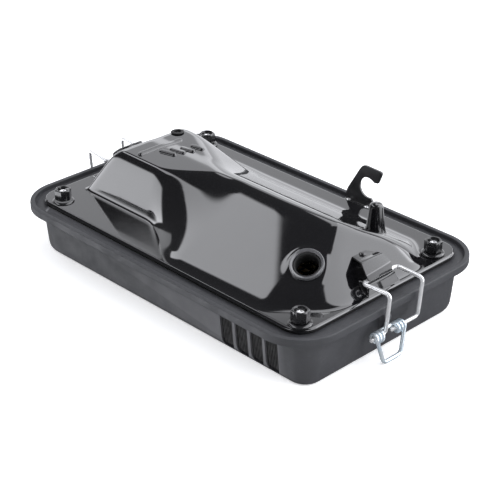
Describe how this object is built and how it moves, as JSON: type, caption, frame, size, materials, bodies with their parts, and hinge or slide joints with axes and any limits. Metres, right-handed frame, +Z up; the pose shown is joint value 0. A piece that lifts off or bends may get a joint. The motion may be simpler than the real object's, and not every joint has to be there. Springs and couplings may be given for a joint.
{
  "type": "air filter housing",
  "caption": "Low panel air filter housing for a small engine: louvred tray, glossy domed cover with side outlet, filter inside, wire bail latch at each end, hook bracket",
  "frame": {"origin": "centre of the flat underside of the tray", "axes": "+X along the long side towards the outlet port end, +Y across towards the hook bracket, +Z up through the cover"},
  "size_m": [0.2862, 0.1688, 0.0701],
  "materials": {
    "tray_plastic": "matt moulded, dark grey",
    "cover_plastic": "high gloss black",
    "black_paint": "satin black coating",
    "zinc_steel": "bluish zinc plating",
    "bright_steel": "bright drawn wire",
    "seal_rubber": "soft black rubber",
    "filter_rubber": "moulded black polyurethane",
    "filter_paper": "resin-treated filter paper",
    "foam": "open-cell foam, dark grey",
    "screen_steel": "plain perforated steel"
  },
  "bodies": {
    "tray": {"tray": "tray_plastic", "hook_bracket": "black_paint", "bracket_rivet_1": "bright_steel", "bracket_rivet_2": "bright_steel"},
    "cover": {"cover": "cover_plastic", "port_grommet": "seal_rubber", "top_plug": "seal_rubber", "rim_seal": "seal_rubber", "clamp_frame": "black_paint", "stud_1": "bright_steel", "stud_2": "bright_steel", "stud_3": "bright_steel", "stud_4": "bright_steel", "washer_1": "black_paint", "washer_2": "black_paint", "washer_3": "black_paint", "washer_4": "black_paint", "nut_1": "black_paint", "nut_2": "black_paint", "nut_3": "black_paint", "nut_4": "black_paint", "hinge_clip_right": "black_paint", "clip_rivet_right": "black_paint", "hinge_clip_left": "black_paint", "clip_rivet_left": "black_paint"},
    "filter": {"filter_frame": "filter_rubber", "filter_pleats": "filter_paper", "filter_screen": "screen_steel", "foam_prefilter": "foam"},
    "bail_right": {"bail_right": "bright_steel"},
    "bail_left": {"bail_left": "bright_steel"},
    "lever_right": {"lever_right": "zinc_steel"},
    "lever_left": {"lever_left": "zinc_steel"}
  },
  "joints": [
    {"name": "cover_lift", "type": "slide", "parent": "tray", "child": "cover", "axis": [0, 0, 1], "range_m": [0, 0.06]},
    {"name": "filter_lift", "type": "slide", "parent": "tray", "child": "filter", "axis": [0, 0, 1], "range_m": [0, 0.03]},
    {"name": "bail_right_swing", "type": "hinge", "parent": "cover", "child": "bail_right", "pos_m": [0.118, 0, 0.0425], "axis": [0, -1, 0], "range_deg": [0, 100]},
    {"name": "lever_right_turn", "type": "hinge", "parent": "bail_right", "child": "lever_right", "pos_m": [0.1373, 0, 0.017], "axis": [0, -1, 0], "range_deg": [0, 60]},
    {"name": "bail_left_swing", "type": "hinge", "parent": "cover", "child": "bail_left", "pos_m": [-0.118, 0, 0.0425], "axis": [0, 1, 0], "range_deg": [0, 100]},
    {"name": "lever_left_turn", "type": "hinge", "parent": "bail_left", "child": "lever_left", "pos_m": [-0.1373, 0, 0.017], "axis": [0, 1, 0], "range_deg": [0, 60]}
  ],
  "couplings": [
    {"joint": "filter_lift", "follows": "cover_lift", "ratio": 0.5},
    {"joint": "bail_right_swing", "follows": "cover_lift", "rad_per_m": 29},
    {"joint": "lever_right_turn", "follows": "cover_lift", "rad_per_m": 17.4},
    {"joint": "bail_left_swing", "follows": "cover_lift", "rad_per_m": 29},
    {"joint": "lever_left_turn", "follows": "cover_lift", "rad_per_m": 17.4}
  ]
}
